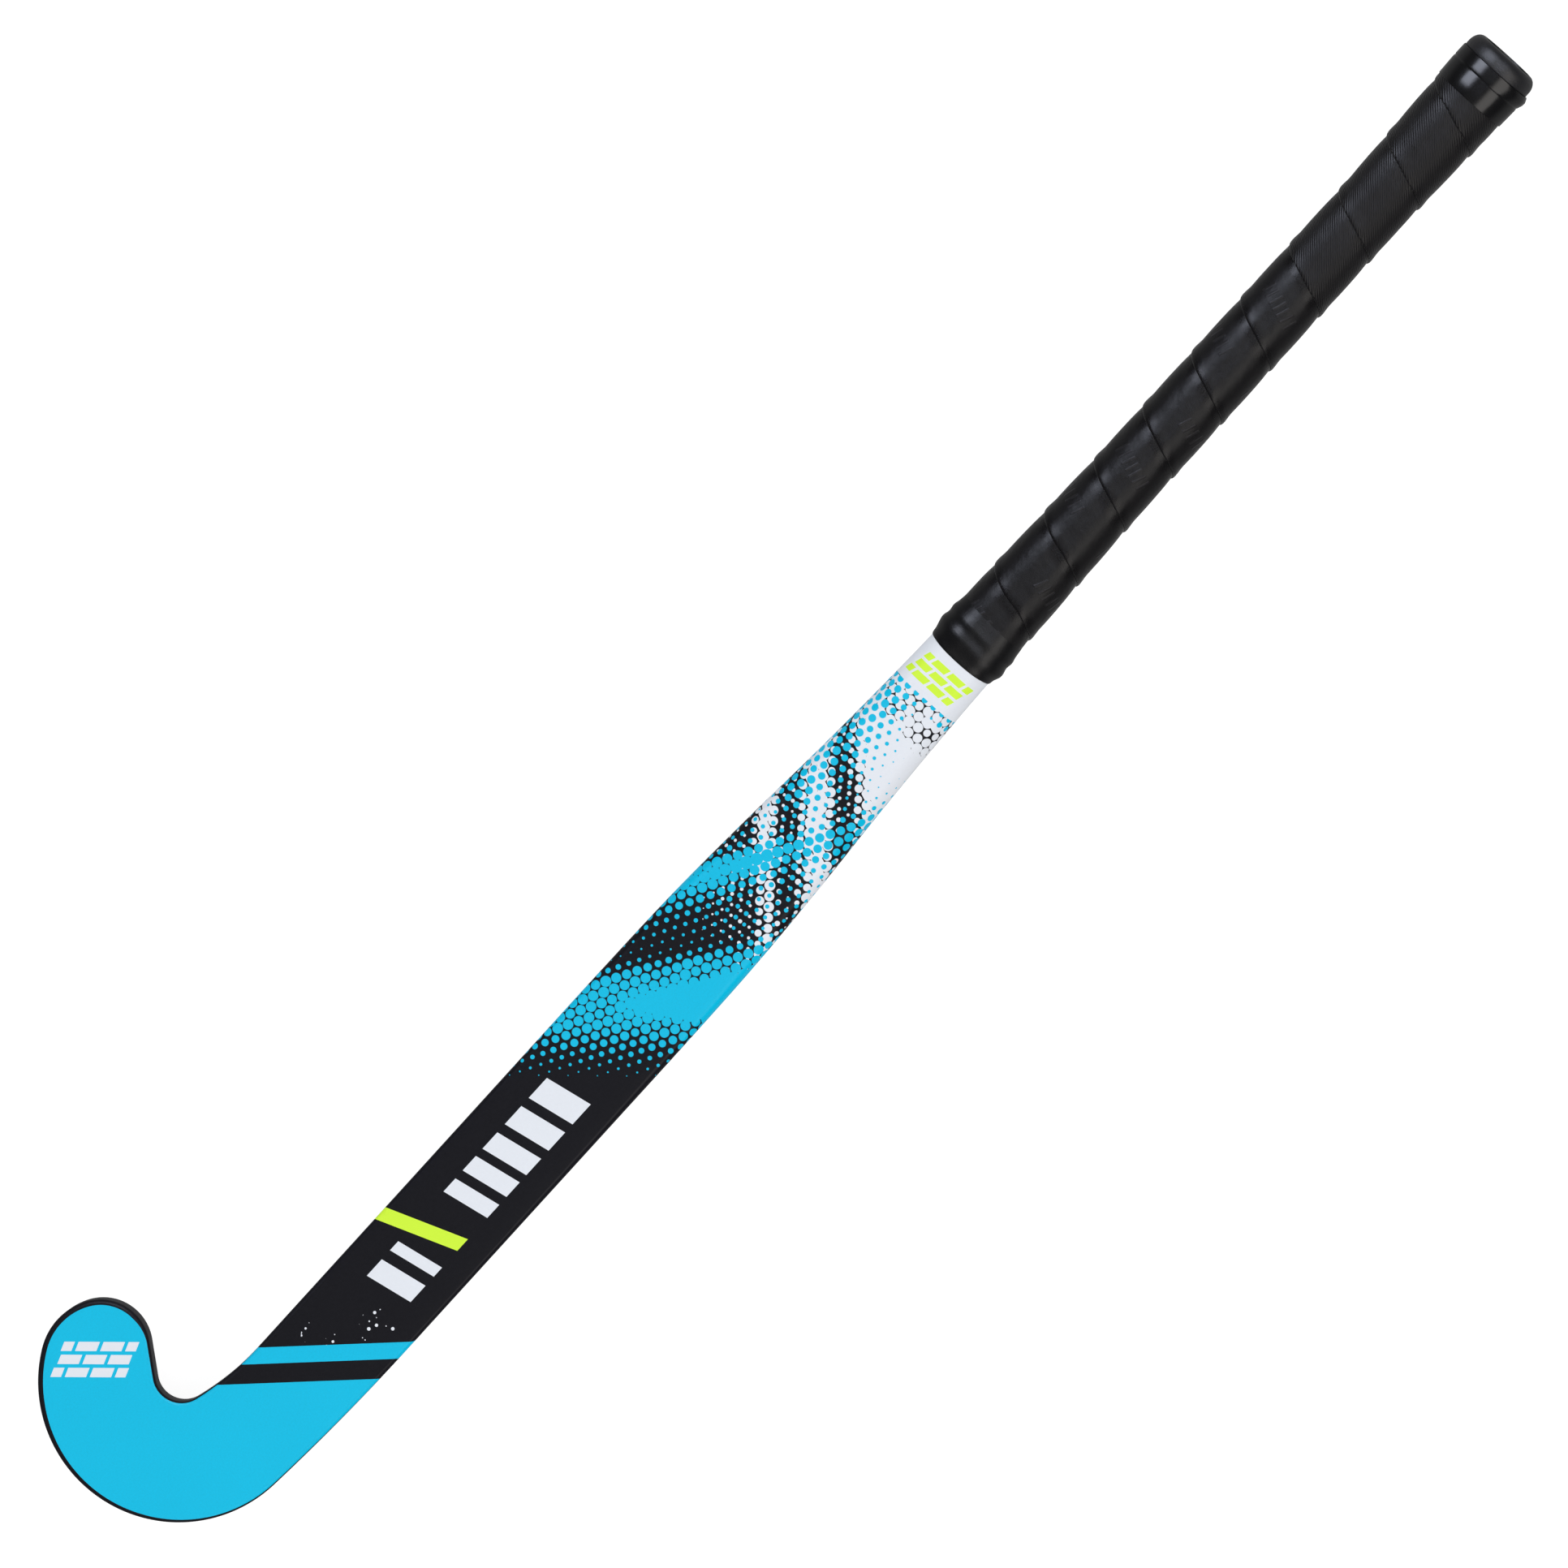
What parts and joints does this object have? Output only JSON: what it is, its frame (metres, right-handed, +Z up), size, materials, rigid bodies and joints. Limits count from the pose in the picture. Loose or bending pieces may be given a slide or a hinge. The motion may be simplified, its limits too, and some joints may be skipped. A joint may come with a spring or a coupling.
{
  "type": "field hockey stick",
  "caption": "Bowed field hockey stick with a hooked flat-faced head, printed shaft and wrapped grip, lying on its back.",
  "frame": {"origin": "under the middle of the stick's box, on the surface it lies on", "axes": "+X along the stick from the hook to the butt, +Y to the toe side, +Z up, the playing-face side"},
  "size_m": [0.8138, 0.1132, 0.0391],
  "materials": {
    "mulberry": "planed, glued",
    "glass_laminate": "black lacquered fibreglass",
    "face_print": "printed film under gloss lacquer",
    "shaft_print": "printed film under gloss lacquer",
    "adhesive": "double-sided tape",
    "grip_pu": "soft satin polyurethane",
    "ridged_tape": "satin",
    "gloss_tape": "glossy",
    "cap_rubber": "matte"
  },
  "bodies": {
    "root": {"core_ply_1": "mulberry", "core_ply_2": "mulberry", "core_ply_3": "mulberry", "core_ply_4": "mulberry", "core_ply_5": "mulberry", "core_ply_6": "mulberry", "core_ply_7": "mulberry", "head_glass_wrap": "glass_laminate", "shaft_glass_sleeve": "glass_laminate", "head_face_decal": "face_print", "shaft_print_wrap": "shaft_print", "grip_adhesive": "adhesive", "grip_tape": "grip_pu", "lower_finishing_tape": "ridged_tape", "upper_finishing_tape": "gloss_tape", "end_cap": "cap_rubber"}
  },
  "joints": []
}
